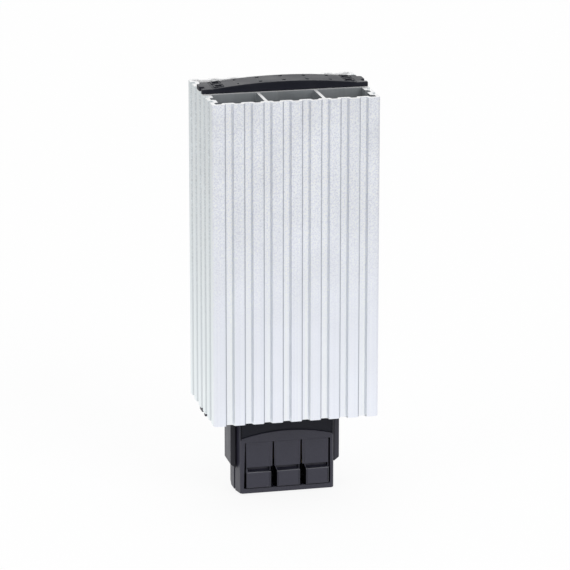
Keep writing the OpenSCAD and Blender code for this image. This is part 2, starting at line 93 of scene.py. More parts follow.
def newGroup(name, inputs, outputs):
    group = bpy.data.node_groups.new(name, "ShaderNodeTree")
    for label, kind, value in inputs:
        socket = group.interface.new_socket(label, in_out="INPUT", socket_type=kind)
        if value is not None:
            socket.default_value = value
    for label, kind in outputs:
        group.interface.new_socket(label, in_out="OUTPUT", socket_type=kind)
    return group, addNode(group, "NodeGroupInput"), addNode(group, "NodeGroupOutput")


# shader groups that several finishes share
def makeGrain():
    group, gin, gout = newGroup(
        "moulded grain",
        [("Vector", "NodeSocketVector", None), ("Scale", "NodeSocketFloat", 2500.0),
         ("Patch", "NodeSocketFloat", 120.0)],
        [("Grain", "NodeSocketFloat"), ("Patches", "NodeSocketFloat")])
    fine = addNode(group, "ShaderNodeTexNoise", {"Detail": 3.0, "Roughness": 0.6})
    join(group, gin, "Vector", fine, "Vector")
    join(group, gin, "Scale", fine, "Scale")
    patch = addNode(group, "ShaderNodeTexNoise", {"Detail": 2.0})
    join(group, gin, "Vector", patch, "Vector")
    join(group, gin, "Patch", patch, "Scale")
    join(group, fine, "Fac", gout, "Grain")
    join(group, patch, "Fac", gout, "Patches")
    return group


def makeDrawLines():
    group, gin, gout = newGroup(
        "drawn lines",
        [("Vector", "NodeSocketVector", None), ("Stretch", "NodeSocketVector", (900.0, 900.0, 4.0))],
        [("Lines", "NodeSocketFloat")])
    scaled = addNode(group, "ShaderNodeVectorMath", operation="MULTIPLY")
    join(group, gin, "Vector", scaled, 0)
    join(group, gin, "Stretch", scaled, 1)
    lines = addNode(group, "ShaderNodeTexNoise", {"Scale": 1.0, "Detail": 3.0, "Roughness": 0.65})
    join(group, scaled, 0, lines, "Vector")
    join(group, lines, "Fac", gout, "Lines")
    return group


grainGroup = makeGrain()
lineGroup = makeDrawLines()


def startMaterial(name, metallic=0.0):
    material = bpy.data.materials.new(name)
    material.use_nodes = True
    tree = material.node_tree
    tree.nodes.clear()
    out = addNode(tree, "ShaderNodeOutputMaterial")
    shader = addNode(tree, "ShaderNodeBsdfPrincipled", {"Metallic": metallic})
    join(tree, shader, "BSDF", out, "Surface")
    place = addNode(tree, "ShaderNodeTexCoord")
    return material, tree, shader, place.outputs["Object"]


def useGroup(tree, group, vector, **values):
    node = addNode(tree, "ShaderNodeGroup", node_tree=group)
    tree.links.new(vector, node.inputs["Vector"])
    for name, value in values.items():
        node.inputs[name].default_value = value
    return node


# the part of a noise's range that nearly all its values lie in
noiseSpan = (0.3, 0.7)


def spread(tree, value, low, high):
    node = addNode(tree, "ShaderNodeMapRange", {"From Min": noiseSpan[0], "From Max": noiseSpan[1],
                                                "To Min": low, "To Max": high})
    tree.links.new(value, node.inputs["Value"])
    return node.outputs["Result"]


def bumpFrom(tree, shader, height, strength, distance):
    bump = addNode(tree, "ShaderNodeBump", {"Strength": strength, "Distance": distance})
    tree.links.new(height, bump.inputs["Height"])
    join(tree, bump, "Normal", shader, "Normal")


def setTwoTone(tree, shader, cfg, shadeBy, glossBy):
    shade = mixColour(tree, spread(tree, shadeBy, 0.0, 1.0), cfg["dark"], cfg["light"])
    tree.links.new(shade, shader.inputs["Base Color"])
    tree.links.new(spread(tree, glossBy, *cfg["roughness"]), shader.inputs["Roughness"])


# anodised skin: pale satin metal, fine speckle that fades downwards, faint lines along the extrusion; the
# sides are painted a lighter, greener tint as painted light
skinFinish = {
    # the side colour is painted light: a lighter, greener copy of the front colour
    "front": (0.900, 0.926, 1.0), "side": (0.920, 0.975, 1.0), "roughness": (0.40, 0.52),
    "grain": 1500.0, "patch": 60.0, "speckle": 0.17, "speckleLow": 0.10, "fadeFrom": -0.035, "fadeTo": 0.035,
    "stretch": (1100.0, 1100.0, 3.0), "lines": 0.03, "bump": (0.15, 0.0001),
}


def makeSkinFinish(name, cfg):
    material, tree, shader, place = startMaterial(name, 1.0)
    grain = useGroup(tree, grainGroup, place, Scale=cfg["grain"], Patch=cfg["patch"])
    lines = useGroup(tree, lineGroup, place, Stretch=cfg["stretch"])
    height = addNode(tree, "ShaderNodeSeparateXYZ")
    tree.links.new(place, height.inputs[0])
    fade = addNode(tree, "ShaderNodeMapRange", {"From Min": cfg["fadeFrom"], "From Max": cfg["fadeTo"],
                                                "To Min": cfg["speckleLow"], "To Max": 1.0})
    join(tree, height, "Z", fade, "Value")
    # painted tint for the sides
    paintedSideTint = addNode(tree, "ShaderNodeAttribute", attribute_name="paintedSideTint")
    # painted shade and painted light of each face, which multiply the colour
    paintedShading = addNode(tree, "ShaderNodeAttribute", attribute_name="paintedShading")
    colour = mixColour(tree, paintedSideTint.outputs["Fac"], cfg["front"], cfg["side"])
    dots = spread(tree, grain.outputs["Grain"], -cfg["speckle"], cfg["speckle"])
    speckle = mathNode(tree, "ADD", mathNode(tree, "MULTIPLY", dots, fade.outputs["Result"]), 1.0)
    streak = spread(tree, lines.outputs["Lines"], 1.0 - cfg["lines"], 1.0 + cfg["lines"])
    shade = mathNode(tree, "MULTIPLY", mathNode(tree, "MULTIPLY", speckle, streak), paintedShading.outputs["Fac"])
    grey = addNode(tree, "ShaderNodeCombineColor")
    for channel in ("Red", "Green", "Blue"):
        tree.links.new(shade, grey.inputs[channel])
    shaded = mixColour(tree, 1.0, colour, grey.outputs[0], "MULTIPLY")
    tree.links.new(shaded, shader.inputs["Base Color"])
    tree.links.new(spread(tree, grain.outputs["Patches"], *cfg["roughness"]), shader.inputs["Roughness"])
    bumpFrom(tree, shader, grain.outputs["Grain"], *cfg["bump"])
    return material


# walls inside the extrusion: the same metal painted much darker than the skin, as painted shade inside the
# channels
channelShadeFinish = {"dark": (0.365, 0.385, 0.405), "light": (0.405, 0.425, 0.44), "roughness": (0.45, 0.6),
                 "grain": 1800.0, "patch": 80.0, "stretch": (700.0, 700.0, 4.0), "bump": (0.15, 0.0001)}


def makeChannelShade(name, cfg):
    material, tree, shader, place = startMaterial(name, 1.0)
    lines = useGroup(tree, lineGroup, place, Stretch=cfg["stretch"])
    grain = useGroup(tree, grainGroup, place, Scale=cfg["grain"], Patch=cfg["patch"])
    setTwoTone(tree, shader, cfg, lines.outputs["Lines"], grain.outputs["Patches"])
    bumpFrom(tree, shader, grain.outputs["Grain"], *cfg["bump"])
    return material


# black mouldings: fine eroded grain; the shoulder, slit, rim and edge finishes here are painted shade and
# painted highlights for chosen faces
mouldedGrain = {"grain": 2600.0, "patch": 90.0, "bump": (0.25, 0.00012)}
plasticFinishes = {
    # the cap's own dark moulding, also used as painted shade in the casing recess
    "cap moulding and painted shade": {"dark": (0.005, 0.006, 0.012), "light": (0.009, 0.010, 0.018), "ior": 1.32,
                     "roughness": (0.44, 0.56)},
    "casing moulding": {"dark": (0.021, 0.0205, 0.035), "light": (0.029, 0.0285, 0.045), "ior": 1.48,
                        "roughness": (0.38, 0.50)},
    # painted shade on the left shoulder's front face
    "painted shoulder shade": {"dark": (0.011, 0.011, 0.017), "light": (0.016, 0.016, 0.023), "ior": 1.40,
                          "roughness": (0.42, 0.54)},
    # near black: painted shade on slit walls, lever sides, left key edges and the left lip
    "painted slit shade": {"dark": (0.0015, 0.0015, 0.0025), "light": (0.003, 0.003, 0.004), "ior": 1.15,
                  "roughness": (0.60, 0.70)},
    # painted highlights on the keys' right and top edges
    "painted highlight rim": {"dark": (0.052, 0.053, 0.066), "light": (0.064, 0.065, 0.080), "ior": 1.48,
                    "roughness": (0.34, 0.44)},
    "painted highlight edge": {"dark": (0.105, 0.107, 0.125), "light": (0.125, 0.127, 0.145), "ior": 1.48,
                     "roughness": (0.34, 0.44)},
}


def makePlastic(name, cfg, texture):
    material, tree, shader, place = startMaterial(name)
    shader.inputs["IOR"].default_value = cfg["ior"]
    grain = useGroup(tree, grainGroup, place, Scale=texture["grain"], Patch=texture["patch"])
    setTwoTone(tree, shader, cfg, grain.outputs["Grain"], grain.outputs["Patches"])
    bumpFrom(tree, shader, grain.outputs["Grain"], *texture["bump"])
    return material


# finishes with fine lines: sawn metal, the rear channel walls painted pale as painted light, strip metals
# and the heating element's own
sawBump, stripBump = (0.2, 0.00008), (0.1, 0.00005)
linedFinishes = {
    "sawn end": {"dark": (0.62, 0.625, 0.63), "light": (0.76, 0.76, 0.765), "metallic": 0.3,
                 "roughness": (0.35, 0.5), "stretch": (120.0, 2600.0, 120.0), "bump": sawBump},
    "rear channel painted light": {"dark": (0.78, 0.785, 0.79), "light": (0.90, 0.90, 0.905), "metallic": 0.3,
                     "roughness": (0.35, 0.5), "stretch": (120.0, 2600.0, 120.0), "bump": sawBump},
    "spring strip": {"dark": (0.50, 0.50, 0.51), "light": (0.66, 0.66, 0.67), "metallic": 1.0,
                     "roughness": (0.26, 0.42), "stretch": (30.0, 1500.0, 1500.0), "bump": stripBump},
    "zinc screw": {"dark": (0.62, 0.62, 0.60), "light": (0.78, 0.77, 0.74), "metallic": 1.0,
                   "roughness": (0.22, 0.36), "stretch": (500.0, 500.0, 500.0), "bump": stripBump},
    "brass strip": {"dark": (0.40, 0.31, 0.16), "light": (0.54, 0.43, 0.23), "metallic": 1.0,
                    "roughness": (0.25, 0.4), "stretch": (900.0, 900.0, 30.0), "bump": stripBump},
    "fired ceramic": {"dark": (0.22, 0.22, 0.235), "light": (0.34, 0.34, 0.35), "metallic": 0.0,
                      "roughness": (0.6, 0.8), "stretch": (400.0, 400.0, 400.0), "bump": stripBump},
    "amber film": {"dark": (0.52, 0.24, 0.04), "light": (0.68, 0.36, 0.08), "metallic": 0.0,
                   "roughness": (0.2, 0.35), "stretch": (60.0, 60.0, 500.0), "bump": stripBump},
}


def makeLined(name, cfg):
    material, tree, shader, place = startMaterial(name, cfg["metallic"])
    lines = useGroup(tree, lineGroup, place, Stretch=cfg["stretch"]).outputs["Lines"]
    setTwoTone(tree, shader, cfg, lines, lines)
    bumpFrom(tree, shader, lines, *cfg["bump"])
    return material


finishes = {"anodised skin": makeSkinFinish("anodised skin", skinFinish),
            "channel wall painted shade": makeChannelShade("channel wall painted shade", channelShadeFinish)}
finishes.update({name: makePlastic(name, cfg, mouldedGrain) for name, cfg in plasticFinishes.items()})
finishes.update({name: makeLined(name, cfg) for name, cfg in linedFinishes.items()})
print("finishes made:", len(finishes))


# helpers for meshes
def plainMesh(obj):
    graph = bpy.context.evaluated_depsgraph_get()
    return bpy.data.meshes.new_from_object(obj.evaluated_get(graph), depsgraph=graph)


def addObject(name, data):
    obj = bpy.data.objects.new(name, data)
    scene.collection.objects.link(obj)
    return obj


def addPiece(name, mesh, body, slotName, *stoodFor):
    obj = addObject(name, mesh)
    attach(obj, body)
    if stoodFor:
        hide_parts(*stoodFor)
    return obj


# edges bent by more than the sharp angle stay crisp, and large faces lead the shading of the rest
normalRule = {"thin": 1e-7, "weight": 80}


def settleNormals(mesh, sharpAngle):
    bm = bmesh.new()
    bm.from_mesh(mesh)
    bmesh.ops.dissolve_degenerate(bm, dist=normalRule["thin"], edges=bm.edges)
    bmesh.ops.triangulate(bm, faces=[f for f in bm.faces if len(f.verts) > 4], ngon_method="EAR_CLIP")
    for face in bm.faces:
        face.smooth = True
    for edge in bm.edges:
        edge.smooth = not (edge.is_manifold and edge.calc_face_angle() > math.radians(sharpAngle))
    bm.to_mesh(mesh)
    bm.free()
    carrier = addObject("carrier", mesh)
    weighted = carrier.modifiers.new("weighted", "WEIGHTED_NORMAL")
    weighted.keep_sharp = True
    weighted.weight = normalRule["weight"]
    made = plainMesh(carrier)
    bpy.data.objects.remove(carrier)
    return made


# extruded body: the section follows a rule, Geometry Nodes round its edges and draw it to length
profileShape = {
    "width": 0.072, "depth": 0.052, "length": 0.140, "backGap": 0.0012,
    "skin": 0.0016, "grooveDepth": 0.0018, "grooveMouth": 0.0038, "grooveFloor": 0.0025,
    "groovesWide": 8, "groovesDeep": 5, "cornerIn": 0.003,
    "cornerRadius": 0.0018, "edgeRadius": 0.00032, "innerRadius": 0.0004, "edgeSteps": 4,
    "partition": 0.0016, "partitionAhead": 0.00075, "partitionRidge": 2,
    "webBehind": 0.00225, "webGroove": 3, "fin": 0.0014, "finGroove": 2,
    "slotWidth": 0.036, "slotDepth": 0.0072, "slotWall": 0.002, "weld": 1e-6, "sharpAngle": 40,
}


def profileSection(cfg):
    w, d = cfg["width"] / 2, cfg["depth"]
    pitchWide = (cfg["width"] - 2 * cfg["cornerIn"]) / cfg["groovesWide"]
    pitchDeep = (d - 2 * cfg["cornerIn"]) / cfg["groovesDeep"]
    run = (cfg["grooveMouth"] - cfg["grooveFloor"]) / 2
    shift = math.tan(math.atan2(cfg["grooveDepth"], run) / 2)
    t, g = cfg["skin"], cfg["grooveDepth"]
    middlesWide = [cfg["cornerIn"] + (i + 0.5) * pitchWide for i in range(cfg["groovesWide"])]
    middlesDeep = [cfg["cornerIn"] + (i + 0.5) * pitchDeep for i in range(cfg["groovesDeep"])]

    def groove(s, inset):
        a = cfg["grooveMouth"] / 2 + inset * shift
        b = cfg["grooveFloor"] / 2 + inset * shift
        return [(s - a, inset), (s - b, g + inset), (s + b, g + inset), (s + a, inset)]

    def wideRun(inset, chosen):
        return [p for i in chosen for p in groove(middlesWide[i], inset)]

    def deepRun(inset, chosen):
        return [p for i in chosen for p in groove(middlesDeep[i], inset)]

    er, cr, ir = cfg["edgeRadius"], cfg["cornerRadius"], cfg["innerRadius"]
    allWide, allDeep = range(cfg["groovesWide"]), range(cfg["groovesDeep"])
    outer = [(-w, 0, cr)] + [(-w + s, q, er) for s, q in wideRun(0, allWide)]
    outer += [(w, 0, cr)] + [(w - q, s, er) for s, q in deepRun(0, allDeep)]
    outer += [(w, d, cr)] + [(w - s, d - q, er) for s, q in wideRun(0, allWide)]
    outer += [(-w, d, cr)] + [(-w + q, d - s, er) for s, q in deepRun(0, allDeep)]

    inner, bump = w - t, g + t
    wallMiddle = cfg["cornerIn"] + cfg["partitionRidge"] * pitchDeep - cfg["partitionAhead"]
    wallFront, wallBack = wallMiddle - cfg["partition"] / 2, wallMiddle + cfg["partition"] / 2
    finX, half = w - middlesWide[cfg["finGroove"]], cfg["fin"] / 2
    n = cfg["finGroove"]
    leftSide = [(-w + q, s, ir) for s, q in reversed(deepRun(t, range(cfg["partitionRidge"])))]
    left = [(-inner, wallFront, ir)] + leftSide + [(-inner, t, ir)]
    left += [(-w + s, q, ir) for s, q in wideRun(t, range(n))]
    left += [(-w + s, q, ir) for s, q in groove(middlesWide[n], t)[:2]]
    left += [(-finX - half, bump, ir), (-finX - half, wallFront, ir)]
    right = [(-x, y, r) for x, y, r in reversed(left)]
    middle = [(-finX + half, wallFront, ir), (-finX + half, bump, ir)]
    middle += [(-w + s, q, ir) for s, q in groove(middlesWide[n], t)[2:]]
    middle += [(-w + s, q, ir) for s, q in wideRun(t, range(n + 1, cfg["groovesWide"] - n - 1))]
    middle += [(-w + s, q, ir) for s, q in groove(middlesWide[cfg["groovesWide"] - n - 1], t)[:2]]
    middle += [(finX - half, bump, ir), (finX - half, wallFront, ir)]
    webMiddle = middlesDeep[cfg["webGroove"]] + cfg["webBehind"]
    webFront, webBack = webMiddle - cfg["partition"] / 2, webMiddle + cfg["partition"] / 2
    chamberSide = deepRun(t, range(cfg["partitionRidge"], cfg["webGroove"] + 1))[:-2]
    rearSide = deepRun(t, range(cfg["webGroove"] + 1, cfg["groovesDeep"]))
    slotHalf, slotBack = cfg["slotWidth"] / 2, wallBack + cfg["slotDepth"]
    shell, shellBack = slotHalf + cfg["slotWall"], slotBack + cfg["slotWall"]
    chamber = [(-inner, wallBack, ir), (-shell, wallBack, ir), (-shell, shellBack, ir)]
    chamber += [(shell, shellBack, ir), (shell, wallBack, ir), (inner, wallBack, ir)]
    chamber += [(w - q, s, ir) for s, q in chamberSide]
    chamber += [(w - bump, webFront, ir), (-w + bump, webFront, ir)]
    chamber += [(-w + q, s, ir) for s, q in reversed(chamberSide)]
    rear = [(-inner, webBack, ir), (inner, webBack, ir)]
    rear += [(w - q, s, ir) for s, q in rearSide] + [(inner, d - t, ir)]
    rear += [(w - s, d - q, ir) for s, q in wideRun(t, allWide)] + [(-inner, d - t, ir)]
    rear += [(-w + q, s, ir) for s, q in reversed(rearSide)]
    slot = [(-slotHalf, wallBack, ir), (slotHalf, wallBack, ir)]
    slot += [(slotHalf, slotBack, ir), (-slotHalf, slotBack, ir)]
    return [outer, left, middle, right, chamber, rear, slot]


def sectionCurve(cfg):
    front = -cfg["backGap"] - cfg["depth"]
    curve = bpy.data.curves.new("section", "CURVE")
    curve.dimensions = "3D"
    for points in profileSection(cfg):
        spline = curve.splines.new("POLY")
        spline.points.add(len(points) - 1)
        spline.use_cyclic_u = True
        for point, (x, y, r) in zip(spline.points, points):
            point.co = (x, front + y, -cfg["length"] / 2, 1.0)
            point.radius = r
    return addObject("section", curve)


# the number that marks each kind of wall on the drawn body, by the input that gives its finish
wallKinds = {"Skin": 0, "Inside": 1, "Ends": 2}


def makeDrawTree(weld):
    tree = bpy.data.node_groups.new("draw section", "GeometryNodeTree")
    sockets = [("Geometry", "NodeSocketGeometry"), ("Length", "NodeSocketFloat")]
    sockets += [("Edge Steps", "NodeSocketInt")] + [(label, "NodeSocketMaterial") for label in wallKinds]
    for label, kind in sockets:
        tree.interface.new_socket(label, in_out="INPUT", socket_type=kind)
    tree.interface.new_socket("Geometry", in_out="OUTPUT", socket_type="NodeSocketGeometry")
    gin, gout = addNode(tree, "NodeGroupInput"), addNode(tree, "NodeGroupOutput")
    lift = addNode(tree, "ShaderNodeCombineXYZ")
    join(tree, gin, "Length", lift, "Z")
    rounded = addNode(tree, "GeometryNodeFilletCurve", mode="POLY")
    rounded.inputs["Limit Radius"].default_value = True
    join(tree, gin, "Geometry", rounded, "Curve")
    join(tree, gin, "Edge Steps", rounded, "Count")
    join(tree, addNode(tree, "GeometryNodeInputRadius"), 0, rounded, "Radius")
    index = addNode(tree, "GeometryNodeInputIndex")
    isInner = addNode(tree, "FunctionNodeCompare", data_type="INT", operation="GREATER_THAN")
    join(tree, index, 0, isInner, "A")
    parts = addNode(tree, "GeometryNodeSeparateGeometry", domain="CURVE")
    join(tree, rounded, "Curve", parts, "Geometry")
    tree.links.new(isInner.outputs[0], parts.inputs["Selection"])
    gather = addNode(tree, "GeometryNodeJoinGeometry")

    def wall(outName, kind):
        edges = addNode(tree, "GeometryNodeCurveToMesh")
        join(tree, parts, outName, edges, "Curve")
        drawn = addNode(tree, "GeometryNodeExtrudeMesh", mode="EDGES")
        join(tree, edges, "Mesh", drawn, "Mesh")
        join(tree, lift, 0, drawn, "Offset")
        mark(drawn, "Mesh", kind)

    def mark(source, outName, kind):
        tag = addNode(tree, "GeometryNodeStoreNamedAttribute", {"Name": "wallKind", "Value": kind},
                      data_type="INT", domain="FACE")
        join(tree, source, outName, tag, "Geometry")
        join(tree, tag, "Geometry", gather, "Geometry")

    wall("Inverted", wallKinds["Skin"])
    wall("Selection", wallKinds["Inside"])
    filled = addNode(tree, "GeometryNodeFillCurve", mode="TRIANGLES")
    join(tree, rounded, "Curve", filled, "Curve")
    for share in (-0.5, 0.5):
        offset = addNode(tree, "ShaderNodeVectorMath", operation="SCALE")
        join(tree, lift, 0, offset, 0)
        offset.inputs["Scale"].default_value = share
        end = addNode(tree, "GeometryNodeTransform")
        join(tree, filled, "Mesh", end, "Geometry")
        join(tree, offset, 0, end, "Translation")
        mark(end, "Geometry", wallKinds["Ends"])
    merged = addNode(tree, "GeometryNodeMergeByDistance", {"Distance": weld})
    join(tree, gather, "Geometry", merged, "Geometry")
    last = addNode(tree, "GeometryNodeRealizeInstances")
    join(tree, merged, "Geometry", last, "Geometry")
    kindOf = addNode(tree, "GeometryNodeInputNamedAttribute", {"Name": "wallKind"}, data_type="INT")
    for label, kind in wallKinds.items():
        chosen = addNode(tree, "FunctionNodeCompare", data_type="INT", operation="EQUAL")
        tree.links.new(kindOf.outputs["Attribute"], chosen.inputs["A"])
        chosen.inputs["B"].default_value = kind
        painted = addNode(tree, "GeometryNodeSetMaterial")
        tree.links.new(last.outputs["Geometry"], painted.inputs["Geometry"])
        tree.links.new(chosen.outputs[0], painted.inputs["Selection"])
        join(tree, gin, label, painted, "Material")
        last = painted
    join(tree, last, "Geometry", gout, "Geometry")
    return tree


def setInputs(modifier, tree, values):
    for item in tree.interface.items_tree:
        if item.item_type == "SOCKET" and item.in_out == "INPUT" and item.name in values:
            modifier[item.identifier] = values[item.name]


# painted shade and painted light: how light each face of the skin is painted, by where it lies and which way
# it looks
skinPaintedShading = {"ridge": 0.995, "floor": 1.04, "leftSlope": 1.05, "rightSlope": 0.54, "sideRidge": 1.0,
             "sideSlope": 0.80, "fullSlope": 0.9, "near": 1e-5}


def paintSkinShading(bm, mesh, cfg, tones):
    paintedShading, paintedSideTint = bm.faces.layers.float.new("paintedShading"), bm.faces.layers.float.new("paintedSideTint")
    kind = bm.faces.layers.int.get("wallKind")
    mesh.materials.append(finishes["rear channel painted light"])
    paintedLightIndex = len(mesh.materials) - 1
    middleY = -cfg["backGap"] - cfg["depth"] / 2
    pitchDeep = (cfg["depth"] - 2 * cfg["cornerIn"]) / cfg["groovesDeep"]
    webMiddle = cfg["cornerIn"] + (cfg["webGroove"] + 0.5) * pitchDeep + cfg["webBehind"]
    channelStart = webMiddle - cfg["depth"] / 2
    for face in bm.faces:
        face[paintedShading] = 1.0
        place, look = face.calc_center_median(), face.normal
        # walls of the rear channel get a paler, less metallic finish: painted light
        if face[kind] == wallKinds["Inside"] and place.y - middleY > channelStart:
            face.material_index = paintedLightIndex
        if face[kind] != wallKinds["Skin"]:
            continue
        fromFace = cfg["depth"] / 2 - abs(place.y - middleY)
        fromSide = cfg["width"] / 2 - abs(place.x)
        # side faces get the painted side tint and their own painted shade on the slopes
        if fromSide < cfg["grooveDepth"] + tones["near"] and fromFace > cfg["cornerIn"] / 2:
            face[paintedSideTint] = 1.0
            level, steep = tones["sideRidge"], abs(look.y)
            target = tones["sideSlope"]
        else:
            level = tones["floor"] if fromFace > cfg["grooveDepth"] / 2 else tones["ridge"]
            steep, target = abs(look.x), tones["rightSlope"] if look.x > 0 else tones["leftSlope"]
            if fromFace < cfg["cornerIn"] / 2 and fromSide < cfg["cornerIn"]:
                target = level
        face[paintedShading] = level + (target - level) * min(1.0, steep / tones["fullSlope"])


def makeProfile(cfg):
    source = sectionCurve(cfg)
    modifier = source.modifiers.new("draw", "NODES")
    tree = makeDrawTree(cfg["weld"])
    modifier.node_group = tree
    setInputs(modifier, tree, {"Length": cfg["length"], "Edge Steps": cfg["edgeSteps"],
                               "Skin": finishes["anodised skin"], "Inside": finishes["channel wall painted shade"],
                               "Ends": finishes["sawn end"]})
    mesh = plainMesh(source)
    source.modifiers.clear()
    bpy.data.objects.remove(source)
    bm = bmesh.new()
    bm.from_mesh(mesh)
    bmesh.ops.remove_doubles(bm, verts=bm.verts, dist=cfg["weld"])
    bmesh.ops.recalc_face_normals(bm, faces=bm.faces)
    loose = [e for e in bm.edges if not e.is_manifold]
    print("profile faces:", len(bm.faces), "open edges:", len(loose))
    paintSkinShading(bm, mesh, cfg, skinPaintedShading)
    bm.to_mesh(mesh)
    bm.free()
    made = settleNormals(mesh, cfg["sharpAngle"])
    addPiece("extrudedBody", made, "heater", "anodised_aluminium", "heater_profile")


makeProfile(profileShape)


# the connection casing and its levers: where their faces and edges lie
casingEdges = {
    "front": -0.0352, "keyFront": -0.0362, "shoulderFront": -0.0308, "casingSide": 0.0217,
    "frontSide": 0.0208, "recessWall": -0.0298, "recessShown": -0.0345, "lip": 0.0007,
    "archTop": -0.0789, "archRise": 0.0032, "archEnd": -0.0830, "hinge": -0.0843,
    "opening": 0.01895, "openingSide": 0.01885, "openingLow": -0.1051, "leverHalf": 0.00595,
    "plateLow": -0.0955, "plateReach": 0.012, "plateEdge": 0.004, "keyTop": -0.0974, "cheek": 0.0004,
}
# edge radii of their slits and keys, and how far the shown shape is trimmed
edgeRadii = {"slit": 0.00010, "key": 0.00055}
casingTrim = {"arch": 0.00065, "plateTop": 0.00004, "plateLow": 0.00022, "opening": 0.00016, "key": 0.0007}
recessFill = {"low": (-0.0204, casingEdges["recessShown"], -0.0826), "high": (0.0204, -0.0290, -0.0722)}
leverNames = ("lever_left", "lever_middle", "lever_right")
levelCuts = {name: (casingEdges["plateLow"], casingEdges["keyTop"]) for name in leverNames}
levelCuts["casing_front"] = (casingEdges["archEnd"],)
# how near counts as on a place, and how much of a direction counts as looking that way
near = {"weld": 2e-6, "cut": 1e-6, "split": 1e-7, "point": 1e-5, "side": 2e-5, "arch": 3e-5, "lip": 0.0001,
        "edge": 0.0002, "seam": 0.0003, "face": 0.0004}
facing = {"turned": 0.25, "front": 0.5, "square": 0.9, "flat": 0.95}
easeRule = {"flatAngle": 0.3, "bentAngle": 30, "sharpAngle": 35}


# moulded and bent pieces: the CAD shape with its edges eased, each edge by its own radius
def cutAcross(bm, level, normal):
    everything = bm.verts[:] + bm.edges[:] + bm.faces[:]
    bmesh.ops.bisect_plane(bm, geom=everything, dist=near["split"], plane_co=level * normal, plane_no=normal)


def easedMesh(nodeName, radius, steps, radiusOf, cuts):
    bm = bmesh.new()
    bm.from_mesh(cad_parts[nodeName].data)
    bmesh.ops.remove_doubles(bm, verts=bm.verts, dist=near["weld"])
    for x in cuts:
        cutAcross(bm, x, Vector((1, 0, 0)))
    levels = levelCuts.get(nodeName, ())
    for z in levels:
        cutAcross(bm, z, Vector((0, 0, 1)))

    def onCut(edge):
        a, b = edge.verts[0].co, edge.verts[1].co
        offCuts = [abs(a.x - x) + abs(b.x - x) for x in cuts] + [abs(a.z - z) + abs(b.z - z) for z in levels]
        return any(off < near["cut"] for off in offCuts)

    def joinFlat():
        edges, flat = [e for e in bm.edges if not onCut(e)], math.radians(easeRule["flatAngle"])
        bmesh.ops.dissolve_limit(bm, angle_limit=flat, verts=bm.verts, edges=edges)

    joinFlat()
    if nodeName in trims:
        trims[nodeName](bm)
    if nodeName == "casing_front":
        fillRecess(bm)
        joinFlat()
    share = bm.edges.layers.float.new("bevel_weight_edge")
    for edge in bm.edges:
        if edge.is_manifold and edge.calc_face_angle() > math.radians(easeRule["bentAngle"]):
            first, second = edge.verts[0].co, edge.verts[1].co
            edge[share] = radiusOf((first + second) / 2, second - first, radius) / radius
    mesh = bpy.data.meshes.new(nodeName)
    bm.to_mesh(mesh)
    bm.free()
    carrier = addObject("carrier", mesh)
    bevel = carrier.modifiers.new("ease", "BEVEL")
    bevel.limit_method = "WEIGHT"
    bevel.width, bevel.segments, bevel.use_clamp_overlap = radius, steps, False
    made = plainMesh(carrier)
    bpy.data.objects.remove(carrier)
    return made


# the shown casing has a lower arch, wider outer slits and a shallow recess
def trimCasing(bm):
    cfg = casingEdges
    arch = (cfg["casingSide"] ** 2 + cfg["archRise"] ** 2) / (2 * cfg["archRise"])
    for vert in bm.verts:
        belowHinge = vert.co.z < cfg["hinge"] + near["edge"]
        if belowHinge and abs(abs(vert.co.x) - cfg["openingSide"]) < near["point"]:
            if vert.co.z > cfg["openingLow"] - near["point"]:
                vert.co.x += math.copysign(casingTrim["opening"], vert.co.x)
        if vert.co.z < cfg["hinge"] or vert.co.y > cfg["recessWall"] + near["point"]:
            continue
        if abs(math.hypot(vert.co.x, vert.co.z - cfg["archTop"] + arch) - arch) < near["arch"]:
            vert.co.z -= casingTrim["arch"]


def shareBetween(z, start, end):
    return min(1.0, max(0.0, (start - z) / (start - end)))


# the shown levers narrow downwards, and a key with a neighbour on its left starts further in
def trimLever(bm):
    cfg = casingEdges
    outer = [v.co.x for v in bm.verts if v.co.z > cfg["plateLow"]]
    middle = (min(outer) + max(outer)) / 2
    trimGrowth = casingTrim["plateLow"] - casingTrim["plateTop"]
    for vert in bm.verts:
        side = vert.co.x - middle
        inner = abs(side) > cfg["leverHalf"] - near["side"] and abs(vert.co.x) < cfg["openingSide"] / 2
        if inner and vert.co.z > cfg["plateLow"] - near["cut"]:
            share = shareBetween(vert.co.z, cfg["hinge"], cfg["plateLow"])
            vert.co.x -= math.copysign(casingTrim["plateTop"] + trimGrowth * share, side)
    keySide = min(v.co.x for v in bm.verts if v.co.z < cfg["keyTop"] - near["point"])
    trimmed = [keySide + cfg["cheek"]]
    if keySide > -cfg["openingSide"] / 2:
        trimmed.append(keySide)
    for vert in bm.verts:
        if any(abs(vert.co.x - x) < near["side"] for x in trimmed):
            vert.co.x += casingTrim["key"] * shareBetween(vert.co.z, cfg["plateLow"], cfg["keyTop"])


def fillRecess(bm):
    low, high = Vector(recessFill["low"]), Vector(recessFill["high"])
    block = bmesh.new()
    size = Matrix.Diagonal((*(high - low), 1.0))
    bmesh.ops.create_cube(block, size=1.0, matrix=Matrix.Translation((low + high) / 2) @ size)
    carriers = []
    for name, source in (("carrier", bm), ("block", block)):
        mesh = bpy.data.meshes.new(name)
        source.to_mesh(mesh)
        carriers.append(addObject(name, mesh))
    block.free()
    union = carriers[0].modifiers.new("fill", "BOOLEAN")
    union.operation, union.solver, union.object = "UNION", "EXACT", carriers[1]
    mesh = plainMesh(carriers[0])
    for carrier in carriers:
        bpy.data.objects.remove(carrier)
    bm.clear()
    bm.from_mesh(mesh)
    bmesh.ops.remove_doubles(bm, verts=bm.verts, dist=near["weld"])


trims = {name: trimLever for name in leverNames}
trims["casing_front"] = trimCasing


# the radius that each edge gets, by its middle and its run
def sameRadius(middle, along, radius):
    return radius


